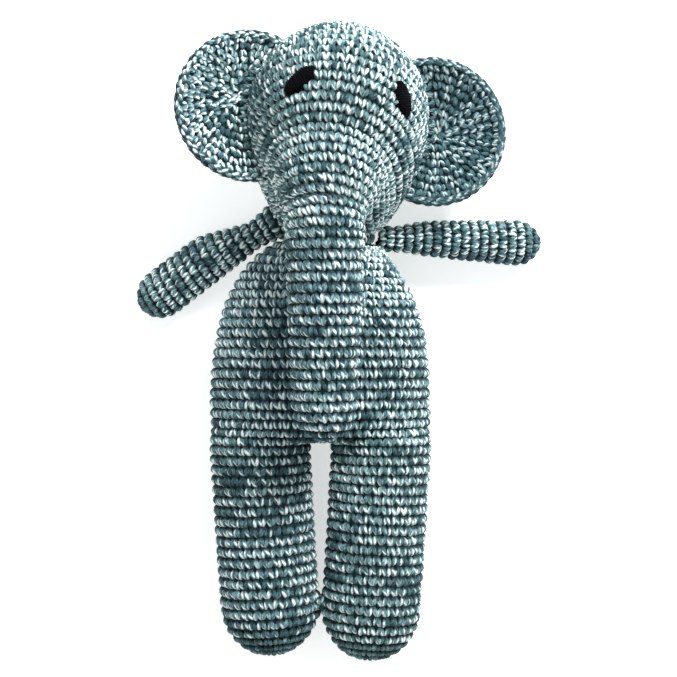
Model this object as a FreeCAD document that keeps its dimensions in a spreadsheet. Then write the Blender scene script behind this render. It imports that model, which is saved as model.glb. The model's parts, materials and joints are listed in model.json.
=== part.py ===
import FreeCAD, Part
import math
import os
import Sketcher

# Crocheted elephant toy, lying on its back as it is laid down.
# +Z is the front of the toy, +Y runs to the crown of the head, +X is the toy's left-hand side as
# an onlooker's right. The origin is the middle of the flat back of the torso, on the surface
# that the toy rests on. Millimetres and degrees.

SIZES = [
    # name, value, what it is
    ("cover_wall", 4.5, "thickness of the crocheted fabric"),
    ("fill_gap", 0.4, "room between the fabric and the stuffing"),
    ("settle", 1.0, "how far each stuffed part flattens where it rests"),
    ("joint_room", 1.0, "room around a ball-shaped end in its socket"),
    ("hip_y", -38.0, "torso section at the hips"),
    ("hip_half_width", 56.3, ""),
    ("hip_half_depth", 29.0, ""),
    ("belly_y", -8.0, "torso section at the belly"),
    ("belly_half_width", 55.2, ""),
    ("belly_half_depth", 30.5, ""),
    ("chest_y", 18.0, "torso section at the chest"),
    ("chest_half_width", 49.8, ""),
    ("chest_half_depth", 29.0, ""),
    ("shoulder_y", 38.0, "torso section at the shoulders"),
    ("shoulder_half_width", 39.6, ""),
    ("shoulder_half_depth", 26.5, ""),
    ("neck_y", 53.0, "torso section at the neck, which leans with the head"),
    ("neck_half_width", 24.5, ""),
    ("neck_half_depth", 22.5, ""),
    ("neck_x", 4.8, "the neck stands a little to one side"),
    ("neck_z", 27.0, ""),
    ("head_lean", 14.0, "degrees that the neck end of the head dips"),
    ("head_roll", 4.0, "degrees that the head leans to its side"),
    ("head_radius", 45.6, "round upper half of the head"),
    ("jaw_radius", 88.0, "flatter curve from the widest place to the neck"),
    ("head_drop", 56.0, "from the centre of the round half to the neck opening"),
    ("neck_round", 7.0, "rounding where the head closes on the neck"),
    ("head_x", 8.8, "centre of the round half"),
    ("head_y", 113.3, ""),
    ("trunk_x", 2.5, "plane in which the trunk lies"),
    ("trunk_root_radius", 19.5, "trunk where it leaves the face"),
    ("trunk_bend_radius", 19.3, "trunk at its bend"),
    ("trunk_tip_radius", 16.0, "trunk at its tip"),
    ("trunk_root_y", 74.0, "centre of the root, about which the trunk lifts"),
    ("trunk_root_z", 74.0, ""),
    ("trunk_bend_y", 55.0, "centre of the bend"),
    ("trunk_bend_z", 81.5, ""),
    ("trunk_end_y", -30.0, "centre of the rounded tip"),
    ("trunk_end_z", 77.5, ""),
    ("leg_radius", 25.6, "leg at the hip"),
    ("foot_radius", 25.2, "leg at the foot"),
    ("leg_x", 31.0, "hip centre from the middle plane"),
    ("leg_y", -52.0, "hip centre"),
    ("leg_turn", 3.6, "degrees that each leg leans inwards"),
    ("left_leg_length", 81.6, "hip centre to foot centre"),
    ("right_leg_length", 84.1, ""),
    ("arm_wall", 3.5, "the arms are worked a little finer"),
    ("arm_root_radius", 6.6, "arm at the shoulder"),
    ("left_hand_radius", 12.6, "arm at the hand"),
    ("right_hand_radius", 12.0, ""),
    ("arm_root_z", 20.0, "height of both shoulders"),
    ("left_arm_x", -32.0, "shoulder centre"),
    ("left_arm_y", 56.5, ""),
    ("left_hand_x", -82.6, "hand centre"),
    ("left_hand_y", 25.7, ""),
    ("right_arm_x", 39.5, ""),
    ("right_arm_y", 53.6, ""),
    ("right_hand_x", 101.3, ""),
    ("right_hand_y", 52.3, ""),
    ("left_elbow_x", -58.8, "a place along the arm where its taper changes"),
    ("left_elbow_y", 43.4, ""),
    ("left_elbow_z", 15.5, ""),
    ("left_elbow_radius", 12.3, ""),
    ("right_elbow_x", 52.5, ""),
    ("right_elbow_y", 54.2, ""),
    ("right_elbow_z", 18.3, ""),
    ("right_elbow_radius", 9.3, ""),
    ("ear_radius", 39.0, "flat crocheted circle"),
    ("ear_wall", 6.0, "thickness with its edging"),
    ("ear_cup", 80.0, "radius of the shallow cup that the ear makes"),
    ("ear_room", 3.5, "from the head's fabric to the edge of the ear"),
    ("left_ear_x", -35.0, "centre of the circle"),
    ("left_ear_y", 116.5, ""),
    ("left_ear_z", 52.0, ""),
    ("left_ear_tilt", 12.0, "degrees that the outer rim stands forward"),
    ("right_ear_x", 54.5, ""),
    ("right_ear_y", 106.0, ""),
    ("right_ear_z", 38.0, ""),
    ("right_ear_tilt", -10.0, ""),
    ("ear_seam_half", 38.0, "degrees of the head's side that each ear is sewn to, either way"),
    ("left_eye_x", -18.5, "direction of the eye from the centre of the head"),
    ("left_eye_y", 11.3, ""),
    ("left_eye_z", 40.1, ""),
    ("left_eye_turn", 37.0, "degrees that the patch is turned on the face"),
    ("right_eye_x", 31.7, ""),
    ("right_eye_y", 3.4, ""),
    ("right_eye_z", 32.6, ""),
    ("right_eye_turn", 105.0, ""),
    ("eye_long", 8.6, "half length of an embroidered eye"),
    ("eye_short", 5.4, "half width"),
    ("eye_rise", 2.6, "how far it stands off the fabric at most"),
    ("eye_room", 0.2, "room under the eye"),
    ("yarn_radius", 1.1, "sewing yarn of the neck seam"),
    ("shoulder_yarn_radius", 0.88, "sewing yarn round each shoulder"),
    ("shoulder_ring_radius", 5.7, "that yarn's ring"),
    ("shoulder_ring_back", 5.6, "how far behind the shoulder's centre the ring lies"),
    ("ear_yarn_radius", 0.77, "sewing yarn along each ear"),
    ("ear_yarn_rise", 1.5, "from the ear's lowest point up to its seam"),
    ("seam_gap", 0.1, "between a seam and the fabric beside it"),
    ("floor_size", 600.0, "block that trims the resting faces"),
]

doc = FreeCAD.newDocument("elephant")
sheet = doc.addObject("Spreadsheet::Sheet", "Sizes")
for row, (alias, amount, meaning) in enumerate(SIZES, start=1):
    sheet.set(f"A{row}", alias)
    sheet.set(f"B{row}", str(amount))
    sheet.set(f"C{row}", meaning)
    sheet.setAlias(f"B{row}", alias)
doc.recompute()

COVER = "Sizes.cover_wall"
FILLING = "Sizes.cover_wall + Sizes.fill_gap"
OUTSIDE = "0"
TOLERANCE = 0.01
nodes = []


def size(name):
    """A driving dimension as a number."""
    return float(sheet.get(name))


def number(expression):
    """The value of an expression that names cells of the sheet."""
    return float(sheet.evalExpression(expression.replace("Sizes.", "")))


def bind(thing, **expressions):
    """Binds properties of an object to the sheet. A double underscore stands for a dot."""
    for name, expression in expressions.items():
        thing.setExpression(name.replace("__", "."), expression)


def put(thing, x, y, z, rotation=None):
    """Turns an object and binds its place to the sheet."""
    thing.Placement = FreeCAD.Placement(FreeCAD.Vector(), rotation or FreeCAD.Rotation())
    bind(thing, Placement__Base__x=x, Placement__Base__y=y, Placement__Base__z=z)
    return thing


def finish(thing, label):
    """Names a finished piece and keeps it for export."""
    thing.Label = label
    nodes.append(thing)
    return thing


def minus(label, whole, *tools):
    """One solid with others cut out of it."""
    for index, tool in enumerate(tools):
        cut = doc.addObject("Part::Cut", f"{label}_less_{index}")
        cut.Base = whole
        cut.Tool = tool
        whole = cut
    return whole


def joined(label, *shapes):
    """Several overlapping solids as one."""
    fuse = doc.addObject("Part::MultiFuse", label)
    fuse.Shapes = list(shapes)
    return fuse


def ball(label, radius, x, y, z):
    """A sphere at a place given by the sheet."""
    sphere = doc.addObject("Part::Sphere", label)
    bind(sphere, Radius=radius)
    return put(sphere, x, y, z)


def floor_block(label):
    """The surface under the toy, used to trim what rests on it."""
    block = doc.addObject("Part::Box", label)
    bind(block, Length="Sizes.floor_size", Width="Sizes.floor_size", Height="Sizes.floor_size")
    return put(block, "-Sizes.floor_size / 2", "-Sizes.floor_size / 2", "-Sizes.floor_size")


def new_sketch(body, label):
    """A sketch on the body's own XY plane."""
    sketch = body.newObject("Sketcher::SketchObject", label)
    plane = [part for part in body.Origin.OriginFeatures if part.Role == "XY_Plane"][0]
    sketch.AttachmentSupport = [(plane, "")]
    sketch.MapMode = "FlatFace"
    return sketch


def dimension(sketch, constraint, expression):
    """Adds a dimension to a sketch and binds it to the sheet."""
    sketch.setExpression(f"Constraints[{sketch.addConstraint(constraint)}]", expression)


def turned(body, sketch, feature="PartDesign::Revolution"):
    """Revolves a sketch about its vertical axis, to add or to remove material."""
    turn = body.newObject(feature, sketch.Name + "_turn")
    turn.Profile = sketch
    turn.ReferenceAxis = (sketch, ["V_Axis"])
    turn.Angle = 360.0
    doc.recompute()
    return turn


def limb_sketch(body, label, start, end, length, inset):
    """Half of a tapering limb with two round ends: centre one at the origin, two down the axis."""
    start, end = f"{start} - ({inset})", f"{end} - ({inset})"
    near, far, run = number(start), number(end), number(length)
    slope = math.asin((near - far) / run)
    side = FreeCAD.Vector(math.cos(slope), -math.sin(slope), 0)
    bottom = FreeCAD.Vector(0, -run, 0)
    normal = FreeCAD.Vector(0, 0, 1)
    sketch = new_sketch(body, label)
    first = sketch.addGeometry(Part.ArcOfCircle(
        Part.Circle(FreeCAD.Vector(), normal, near), -slope, math.pi / 2))
    wall = sketch.addGeometry(Part.LineSegment(side * near, bottom + side * far))
    last = sketch.addGeometry(Part.ArcOfCircle(
        Part.Circle(bottom, normal, far), -math.pi / 2, -slope))
    axis = sketch.addGeometry(Part.LineSegment(
        FreeCAD.Vector(0, -run - far, 0), FreeCAD.Vector(0, near, 0)))
    for constraint in (("Coincident", first, 3, -1, 1), ("Coincident", first, 2, axis, 2),
                       ("Tangent", first, 1, wall, 1), ("Tangent", wall, 2, last, 2),
                       ("Coincident", last, 1, axis, 1), ("PointOnObject", last, 3, -2),
                       ("PointOnObject", axis, 1, -2), ("PointOnObject", axis, 2, -2)):
        sketch.addConstraint(Sketcher.Constraint(*constraint))
    dimension(sketch, Sketcher.Constraint("Radius", first, near), start)
    dimension(sketch, Sketcher.Constraint("Radius", last, far), end)
    dimension(sketch, Sketcher.Constraint("DistanceY", last, 3, -1, 1, run), length)
    return sketch


def limb(label, start, end, length, place, inset=OUTSIDE, hollow=False):
    """A stuffed limb, solid or as a hollow fabric cover, with its first ball centre at place."""
    x, y, z, rotation = place
    body = doc.addObject("PartDesign::Body", label)
    turned(body, limb_sketch(body, label + "_outline", start, end, length, inset))
    if hollow:
        inside = limb_sketch(body, label + "_inside", start, end, length, COVER)
        turned(body, inside, "PartDesign::Groove")
    return put(body, x, y, z, rotation)


def towards(x, y, z):
    """The turn that takes a limb's own axis, -Y, to a direction."""
    return FreeCAD.Rotation(FreeCAD.Vector(0, -1, 0), FreeCAD.Vector(x, y, z))


def torso_form(label, inset):
    """The torso as a loft through its five oval sections, smaller by inset all round."""
    ovals = []
    for name in ("hip", "belly", "chest", "shoulder", "neck"):
        oval = doc.addObject("Part::Ellipse", f"{label}_{name}")
        bind(oval, MajorRadius=f"Sizes.{name}_half_width - ({inset})",
             MinorRadius=f"Sizes.{name}_half_depth - ({inset})")
        along, lean = f"Sizes.{name}_y", 0.0
        x, z = "0", f"Sizes.{name}_half_depth - Sizes.settle"
        if name == "hip":
            along += f" + ({inset})"
        if name == "neck":
            along += f" - ({inset})"
            x, z, lean = "Sizes.neck_x", "Sizes.neck_z", size("head_lean")
        put(oval, x, along, z, FreeCAD.Rotation(FreeCAD.Vector(1, 0, 0), 90.0 + lean))
        ovals.append(oval)
    form = doc.addObject("Part::Loft", label)
    form.Sections = ovals
    form.Solid = True
    return form


def make_torso():
    """Body cover and its filling, with a cup at each hip for the round top of the leg."""
    cups = [ball(f"hip_cup_{side}", "Sizes.leg_radius + Sizes.joint_room",
                 f"{sign}Sizes.leg_x", "Sizes.leg_y", "Sizes.leg_radius - Sizes.settle")
            for side, sign in (("left", "-"), ("right", ""))]
    hollow = torso_form("body_hollow", COVER)
    cover = minus("body", torso_form("body_form", OUTSIDE), hollow, *cups, floor_block("body_floor"))
    finish(cover, "body_cover")
    fillings = [ball(f"filling_cup_{side}",
                     "Sizes.leg_radius + Sizes.joint_room + Sizes.fill_gap",
                     f"{sign}Sizes.leg_x", "Sizes.leg_y", "Sizes.leg_radius - Sizes.settle")
                for side, sign in (("left", "-"), ("right", ""))]
    finish(minus("filling", torso_form("filling_form", FILLING), *fillings), "body_stuffing")


def make_leg(side, sign, turn):
    """One leg: a round-ended cover and its filling, pivoting about the hip centre."""
    hip, foot, length = "Sizes.leg_radius", "Sizes.foot_radius", f"Sizes.{side}_leg_length"
    place = (f"{sign}Sizes.leg_x", "Sizes.leg_y", "Sizes.leg_radius - Sizes.settle",
             FreeCAD.Rotation(FreeCAD.Vector(0, 0, 1), turn * size("leg_turn")))
    shell = limb(f"leg_{side}_shell", hip, foot, length, place, hollow=True)
    cover = minus(f"leg_{side}", shell, floor_block(f"leg_{side}_floor"))
    finish(cover, f"leg_{side}_cover")
    finish(limb(f"leg_{side}_filling", hip, foot, length, place, FILLING),
           f"leg_{side}_stuffing")


def arm_places(side):
    """The centres of an arm's three balls: shoulder, elbow and hand."""
    z = {"arm": size("arm_root_z"), "elbow": size(f"{side}_elbow_z"),
         "hand": size(f"{side}_hand_radius") - size("settle")}
    return [FreeCAD.Vector(size(f"{side}_{name}_x"), size(f"{side}_{name}_y"), z[name])
            for name in ("arm", "elbow", "hand")]


def arm_form(side, label, inset):
    """An arm: from the thin shoulder to the elbow, and on to the round hand."""
    shoulder, elbow, hand = arm_places(side)
    elbow_radius = f"Sizes.{side}_elbow_radius"
    upper = limb(f"{label}_upper", "Sizes.arm_root_radius", elbow_radius,
                 str((elbow - shoulder).Length),
                 (f"Sizes.{side}_arm_x", f"Sizes.{side}_arm_y", "Sizes.arm_root_z",
                  towards(*(elbow - shoulder))), inset)
    lower = limb(f"{label}_lower", elbow_radius, f"Sizes.{side}_hand_radius",
                 str((hand - elbow).Length),
                 (f"Sizes.{side}_elbow_x", f"Sizes.{side}_elbow_y", f"Sizes.{side}_elbow_z",
                  towards(*(hand - elbow))), inset)
    return joined(label, upper, lower)


def make_arm(side):
    """One arm: thin at the shoulder and round at the hand, resting on the surface."""
    outside = arm_form(side, f"arm_{side}_outer", OUTSIDE)
    inside = arm_form(side, f"arm_{side}_inner", "Sizes.arm_wall")
    cover = minus(f"arm_{side}", outside, inside, floor_block(f"arm_{side}_floor"))
    finish(cover, f"arm_{side}_cover")
    finish(arm_form(side, f"arm_{side}_filling", "Sizes.arm_wall + Sizes.fill_gap"),
           f"arm_{side}_stuffing")
    ring = doc.addObject("Part::Torus", f"shoulder_ring_{side}")
    bind(ring, Radius1="Sizes.shoulder_ring_radius", Radius2="Sizes.shoulder_yarn_radius")
    shoulder, _, hand = arm_places(side)
    outward = (hand - shoulder).normalize()
    back = size("shoulder_ring_back")
    put(ring, f"Sizes.{side}_arm_x - ({back * outward.x})",
        f"Sizes.{side}_arm_y - ({back * outward.y})",
        f"Sizes.arm_root_z - ({back * outward.z})",
        FreeCAD.Rotation(FreeCAD.Vector(0, 0, 1), outward))
    finish(ring, f"shoulder_seam_{side}")


def head_sketch(body, label, inset):
    """Half of the head: a round crown, a flatter jaw and the flat neck opening."""
    crown, jaw = f"Sizes.head_radius - ({inset})", f"Sizes.jaw_radius - ({inset})"
    drop = f"Sizes.head_drop - ({inset})"
    round_half, flat_half, low = number(crown), number(jaw), number(drop)
    shift = FreeCAD.Vector(round_half - flat_half, 0, 0)
    corner = FreeCAD.Vector(shift.x + math.sqrt(flat_half ** 2 - low ** 2), -low, 0)
    normal = FreeCAD.Vector(0, 0, 1)
    sketch = new_sketch(body, label)
    top = sketch.addGeometry(Part.ArcOfCircle(
        Part.Circle(FreeCAD.Vector(), normal, round_half), 0, math.pi / 2))
    cheek = sketch.addGeometry(Part.ArcOfCircle(
        Part.Circle(shift, normal, flat_half), -math.asin(low / flat_half), 0))
    opening = sketch.addGeometry(Part.LineSegment(corner, FreeCAD.Vector(0, -low, 0)))
    axis = sketch.addGeometry(Part.LineSegment(
        FreeCAD.Vector(0, -low, 0), FreeCAD.Vector(0, round_half, 0)))
    for constraint in (("Coincident", top, 3, -1, 1), ("Coincident", top, 2, axis, 2),
                       ("Coincident", top, 1, cheek, 2), ("Coincident", cheek, 1, opening, 1),
                       ("Coincident", opening, 2, axis, 1), ("PointOnObject", axis, 1, -2),
                       ("PointOnObject", axis, 2, -2), ("PointOnObject", top, 1, -1),
                       ("PointOnObject", cheek, 3, -1), ("Horizontal", opening)):
        sketch.addConstraint(Sketcher.Constraint(*constraint))
    dimension(sketch, Sketcher.Constraint("Radius", top, round_half), crown)
    dimension(sketch, Sketcher.Constraint("Radius", cheek, flat_half), jaw)
    dimension(sketch, Sketcher.Constraint("DistanceY", axis, 1, -1, 1, low), drop)
    return sketch


def head_place():
    """The head leans to its side and dips towards the neck."""
    lean = FreeCAD.Rotation(FreeCAD.Vector(1, 0, 0), size("head_lean"))
    roll = FreeCAD.Rotation(FreeCAD.Vector(0, 0, 1), -size("head_roll"))
    return "Sizes.head_x", "Sizes.head_y", "Sizes.head_radius - Sizes.settle", roll * lean


def head_form(label, inset):
    """The head as one solid, smaller or, for the room beside it, larger than its cover."""
    form = doc.addObject("PartDesign::Body", label)
    turned(form, head_sketch(form, label + "_outline", inset))
    return put(form, *head_place())


def make_head():
    """Head cover and its filling, with a socket for the root of the trunk."""
    shell = doc.addObject("PartDesign::Body", "head_shell")
    crown = turned(shell, head_sketch(shell, "head_outline", OUTSIDE))
    rim = [f"Edge{index}" for index, edge in enumerate(crown.Shape.Edges, start=1)
           if abs(edge.BoundBox.YMax + size("head_drop")) < TOLERANCE
           and edge.BoundBox.XLength > size("head_radius") / 2]
    rounded = shell.newObject("PartDesign::Fillet", "neck_rounding")
    rounded.Base = (crown, rim[:1])
    bind(rounded, Radius="Sizes.neck_round")
    doc.recompute()
    turned(shell, head_sketch(shell, "head_inside", COVER), "PartDesign::Groove")
    put(shell, *head_place())
    root = ("Sizes.trunk_x", "Sizes.trunk_root_y", "Sizes.trunk_root_z")
    socket = ball("trunk_socket", "Sizes.trunk_root_radius + Sizes.joint_room", *root)
    path = trunk_form("trunk_room", "-Sizes.joint_room")
    finish(minus("head", shell, socket, path, floor_block("head_floor")), "head_cover")
    filling = head_form("head_filling", FILLING)
    dent = ball("trunk_dent", "Sizes.trunk_root_radius + Sizes.joint_room + Sizes.fill_gap", *root)
    finish(minus("head_inner", filling, dent), "head_stuffing")


def trunk_form(label, inset):
    """The trunk: from its root up to the bend, then down along the belly to its tip."""
    up_y = size("trunk_bend_y") - size("trunk_root_y")
    up_z = size("trunk_bend_z") - size("trunk_root_z")
    on_y = size("trunk_end_y") - size("trunk_bend_y")
    on_z = size("trunk_end_z") - size("trunk_bend_z")
    rise = ("sqrt(pow(Sizes.trunk_bend_y - Sizes.trunk_root_y; 2)"
            " + pow(Sizes.trunk_bend_z - Sizes.trunk_root_z; 2))")
    run = ("sqrt(pow(Sizes.trunk_end_y - Sizes.trunk_bend_y; 2)"
           " + pow(Sizes.trunk_end_z - Sizes.trunk_bend_z; 2))")
    root = ("Sizes.trunk_x", "Sizes.trunk_root_y", "Sizes.trunk_root_z", towards(0, up_y, up_z))
    bend = ("Sizes.trunk_x", "Sizes.trunk_bend_y", "Sizes.trunk_bend_z", towards(0, on_y, on_z))
    return joined(label,
                  limb(label + "_root", "Sizes.trunk_root_radius", "Sizes.trunk_bend_radius",
                       rise, root, inset),
                  limb(label + "_run", "Sizes.trunk_bend_radius", "Sizes.trunk_tip_radius",
                       run, bend, inset))


def make_trunk():
    """Trunk cover and its filling."""
    cover = minus("trunk", trunk_form("trunk_outer", OUTSIDE), trunk_form("trunk_inner", COVER))
    finish(cover, "trunk_cover")
    finish(trunk_form("trunk_filling", FILLING), "trunk_stuffing")


def make_ear(side, sign):
    """One ear: a cupped circle, trimmed to follow the side of the head, and its sewn edge."""
    body = doc.addObject("PartDesign::Body", f"ear_{side}_circle")
    hollow, wall = size("ear_cup"), size("ear_wall")
    spread = math.asin((size("ear_radius") - wall / 2) / (hollow + wall / 2))
    centre = FreeCAD.Vector(0, hollow, 0)
    normal = FreeCAD.Vector(0, 0, 1)
    end = -math.pi / 2 + spread
    sketch = new_sketch(body, f"ear_{side}_outline")
    low = FreeCAD.Vector(math.cos(end), math.sin(end), 0)
    inner = sketch.addGeometry(Part.ArcOfCircle(
        Part.Circle(centre, normal, hollow), -math.pi / 2, end))
    outer = sketch.addGeometry(Part.ArcOfCircle(
        Part.Circle(centre, normal, hollow + wall), -math.pi / 2, end))
    rim = sketch.addGeometry(Part.Arc(
        centre + low * (hollow + wall),
        centre + low * (hollow + wall / 2) + FreeCAD.Vector(-low.y, low.x, 0) * (wall / 2),
        centre + low * hollow))
    axis = sketch.addGeometry(Part.LineSegment(FreeCAD.Vector(), FreeCAD.Vector(0, -wall, 0)))
    rim_low = 1 if sketch.Geometry[rim].StartPoint.y < sketch.Geometry[rim].EndPoint.y else 2
    for constraint in (("Coincident", inner, 3, outer, 3), ("PointOnObject", inner, 3, -2),
                       ("Coincident", inner, 1, -1, 1), ("Coincident", axis, 1, inner, 1),
                       ("Coincident", axis, 2, outer, 1), ("PointOnObject", axis, 2, -2),
                       ("Tangent", rim, rim_low, outer, 2), ("Tangent", rim, 3 - rim_low, inner, 2)):
        sketch.addConstraint(Sketcher.Constraint(*constraint))
    dimension(sketch, Sketcher.Constraint("Radius", inner, hollow), "Sizes.ear_cup")
    dimension(sketch, Sketcher.Constraint("DistanceY", axis, 2, axis, 1, wall), "Sizes.ear_wall")
    dimension(sketch, Sketcher.Constraint("DistanceX", -1, 1, rim, 3, low.x * (hollow + wall / 2)),
              "Sizes.ear_radius - Sizes.ear_wall / 2")
    turned(body, sketch)
    face_up = FreeCAD.Rotation(FreeCAD.Vector(1, 0, 0), 90.0)
    tilt = FreeCAD.Rotation(FreeCAD.Vector(0, 1, 0), -sign * size(f"{side}_ear_tilt"))
    put(body, f"Sizes.{side}_ear_x", f"Sizes.{side}_ear_y", f"Sizes.{side}_ear_z", tilt * face_up)
    room = head_form(f"ear_{side}_room", "-Sizes.ear_room")
    finish(minus(f"ear_{side}_trimmed", body, room), f"ear_{side}")


def make_ear_seam(side):
    """The whip-stitched yarn that joins one ear to the side of the head."""
    seam = doc.addObject("Part::Torus", f"ear_{side}_yarn")
    bind(seam, Radius2="Sizes.ear_yarn_radius")
    reach = size("head_radius") + size("ear_room") / 2
    height = size(f"{side}_ear_z") + size("ear_yarn_rise") - size("head_radius") + size("settle")
    seam.Radius1 = math.sqrt(reach ** 2 - height ** 2)
    middle = math.degrees(math.atan2(size(f"{side}_ear_y") - size("head_y"),
                                     size(f"{side}_ear_x") - size("head_x")))
    seam.Angle3 = 2 * size("ear_seam_half")
    put(seam, "Sizes.head_x", "Sizes.head_y", f"Sizes.{side}_ear_z + Sizes.ear_yarn_rise",
        FreeCAD.Rotation(FreeCAD.Vector(0, 0, 1), middle - size("ear_seam_half")))
    skin = head_form(f"ear_{side}_skin", "-Sizes.seam_gap")
    finish(minus(f"ear_{side}_yarn_trimmed", seam, skin), f"ear_seam_{side}")


def make_eye(side):
    """One eye: a low padded patch of satin stitches on the face."""
    out = FreeCAD.Vector(*(size(f"{side}_eye_{axis}") for axis in "xyz")).normalize()
    reach = size("head_radius")
    patch = doc.addObject("Part::Ellipsoid", f"eye_{side}_patch")
    bind(patch, Radius1="Sizes.eye_rise", Radius2="Sizes.eye_long", Radius3="Sizes.eye_short")
    turn = FreeCAD.Rotation(FreeCAD.Vector(0, 0, 1), out)
    spin = FreeCAD.Rotation(FreeCAD.Vector(0, 0, 1), size(f"{side}_eye_turn"))
    put(patch, f"Sizes.head_x + ({reach * out.x})", f"Sizes.head_y + ({reach * out.y})",
        f"Sizes.head_radius - Sizes.settle + ({reach * out.z})", turn * spin)
    face = ball(f"eye_{side}_face", "Sizes.head_radius + Sizes.eye_room", "Sizes.head_x",
                "Sizes.head_y", "Sizes.head_radius - Sizes.settle")
    finish(minus(f"eye_{side}_raised", patch, face), f"eye_{side}")


def make_neck_seam():
    """The ring of sewing yarn that closes the head on the body."""
    ring = doc.addObject("Part::Torus", "neck_ring")
    bind(ring, Radius1="Sizes.neck_half_depth - Sizes.yarn_radius", Radius2="Sizes.yarn_radius")
    put(ring, "Sizes.neck_x", "Sizes.neck_y + Sizes.yarn_radius + Sizes.seam_gap", "Sizes.neck_z",
        FreeCAD.Rotation(FreeCAD.Vector(1, 0, 0), 90.0 + size("head_lean")))
    finish(ring, "neck_seam")


doc.recompute()
make_torso()
make_neck_seam()
make_head()
make_trunk()
for leg_side, leg_sign, leg_lean in (("left", "-", 1), ("right", "", -1)):
    make_leg(leg_side, leg_sign, leg_lean)
for arm_side in ("left", "right"):
    make_arm(arm_side)
for ear_side, ear_sign in (("left", -1), ("right", 1)):
    make_ear(ear_side, ear_sign)
    make_ear_seam(ear_side)
    make_eye(ear_side)
doc.recompute()

for item in doc.Objects:
    if "Invalid" in item.State or "Error" in item.State:
        raise RuntimeError(f"{item.Label} failed: {item.State}")
for item in nodes:
    shape = item.Shape
    if shape.isNull() or not shape.isValid() or len(shape.Solids) != 1:
        raise RuntimeError(f"{item.Label} is not one valid solid")

os.makedirs("parts", exist_ok=True)
for item in nodes:
    item.Shape.exportStep(f"parts/{item.Label}.step")
    box = item.Shape.optimalBoundingBox()
    print(f"{item.Label:20s} {item.Shape.Volume / 1000:8.2f} cm3 "
          f"x {box.XMin:7.1f} {box.XMax:6.1f}  y {box.YMin:7.1f} {box.YMax:6.1f}"
          f"  z {box.ZMin:5.1f} {box.ZMax:5.1f}")
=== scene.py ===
import json
import math
import bpy
import numpy as np
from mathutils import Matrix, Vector, noise
from mathutils.bvhtree import BVHTree


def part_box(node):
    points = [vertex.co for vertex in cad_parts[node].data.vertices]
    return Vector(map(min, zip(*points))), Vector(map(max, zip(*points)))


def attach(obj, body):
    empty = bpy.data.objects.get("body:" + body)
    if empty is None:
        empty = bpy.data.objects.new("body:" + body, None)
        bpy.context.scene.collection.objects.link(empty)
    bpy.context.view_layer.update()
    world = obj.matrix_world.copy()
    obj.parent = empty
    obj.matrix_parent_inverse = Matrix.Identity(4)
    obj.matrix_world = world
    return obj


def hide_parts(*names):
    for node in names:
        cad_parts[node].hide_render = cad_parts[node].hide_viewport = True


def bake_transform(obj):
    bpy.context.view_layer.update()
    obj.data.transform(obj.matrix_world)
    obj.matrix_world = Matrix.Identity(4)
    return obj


# A crocheted elephant toy. Every cover is worked stitch by stitch: a soft form is swollen by a
# cloth simulation, rounds of crochet are laid on it, and each stitch is two plump yarn strands.
# Lengths are in millimetres until a mesh is made.

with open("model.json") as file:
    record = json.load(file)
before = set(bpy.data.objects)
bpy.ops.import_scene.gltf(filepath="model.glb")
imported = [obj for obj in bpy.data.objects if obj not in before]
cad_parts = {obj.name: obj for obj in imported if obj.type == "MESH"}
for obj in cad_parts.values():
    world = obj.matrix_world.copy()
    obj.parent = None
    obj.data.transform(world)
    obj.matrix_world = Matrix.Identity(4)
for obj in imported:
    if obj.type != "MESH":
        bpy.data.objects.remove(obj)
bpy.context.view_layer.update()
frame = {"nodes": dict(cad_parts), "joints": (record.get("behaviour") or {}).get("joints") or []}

MM = 0.001
PITCH = 5.1  # height of one round of crochet
STITCH = 4.5  # width of one stitch
YARN = 1.22  # radius of the yarn
SINK = 1.3  # the strands' centre line lies this far inside the CAD surface
AROUND = 64  # samples round each ring of a form
RING = 144  # samples round each crocheted round
REACH = 95.0  # longer than any ray inside the toy
ABOVE = 150.0  # heights above and below the toy
BELOW = -50.0
UP = np.array([0, 1.0, 0])  # from the feet to the head
OUTWARD = {"left": -1, "right": 1}
rng = np.random.default_rng(11)


# ---- the frame and its geometry

def box(node):
    """A CAD node's corners in millimetres."""
    return np.array(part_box(node)) / MM


def joint_at(name):
    """A joint's place in millimetres."""
    return np.array(next(j for j in frame["joints"] if j["name"] == name)["pos_m"]) / MM


def vectors(items, what):
    """One vector of each item of a mesh."""
    flat = np.empty(len(items) * 3, dtype=np.float32)
    items.foreach_get(what, flat)
    return flat.reshape(-1, 3).astype(float)


def coords(obj):
    """An object's points in millimetres."""
    return vectors(obj.data.vertices, "co") / MM


def faces_of(obj):
    """The corners of each of an object's faces."""
    return [tuple(p.vertices) for p in obj.data.polygons]


def tree_of(obj):
    """A search tree of an object's surface, in millimetres."""
    return BVHTree.FromPolygons([tuple(p) for p in coords(obj)], faces_of(obj))


def node_points(node):
    """A CAD node's points in millimetres."""
    return coords(frame["nodes"][node])


def cad_tree(node):
    """A search tree of the outside and inside surfaces of a CAD node."""
    return tree_of(frame["nodes"][node])


def unit(v):
    """Vectors of length one along the last axis."""
    v = np.asarray(v, float)
    return v / np.maximum(np.linalg.norm(v, axis=-1, keepdims=True), 1e-9)


def spokes(tangent):
    """Directions round a tangent, starting at its side and turning through its top."""
    side = unit(np.cross(tangent, (0, 0, 1)))
    top = unit(np.cross(side, tangent))
    angle = np.arange(AROUND) * 2 * np.pi / AROUND
    return np.outer(np.cos(angle), side) + np.outer(np.sin(angle), top)


def outside_in(tree, centre, tangent):
    """Radii of the outermost surface round a centre, found by rays that look inwards."""
    radii = []
    for spoke in spokes(tangent):
        hit = tree.ray_cast(Vector(centre + spoke * REACH), Vector(-spoke), REACH)
        radii.append(REACH - hit[3] if hit[0] is not None else 0.0)
    return np.array(radii)


# ---- meshes

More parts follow.
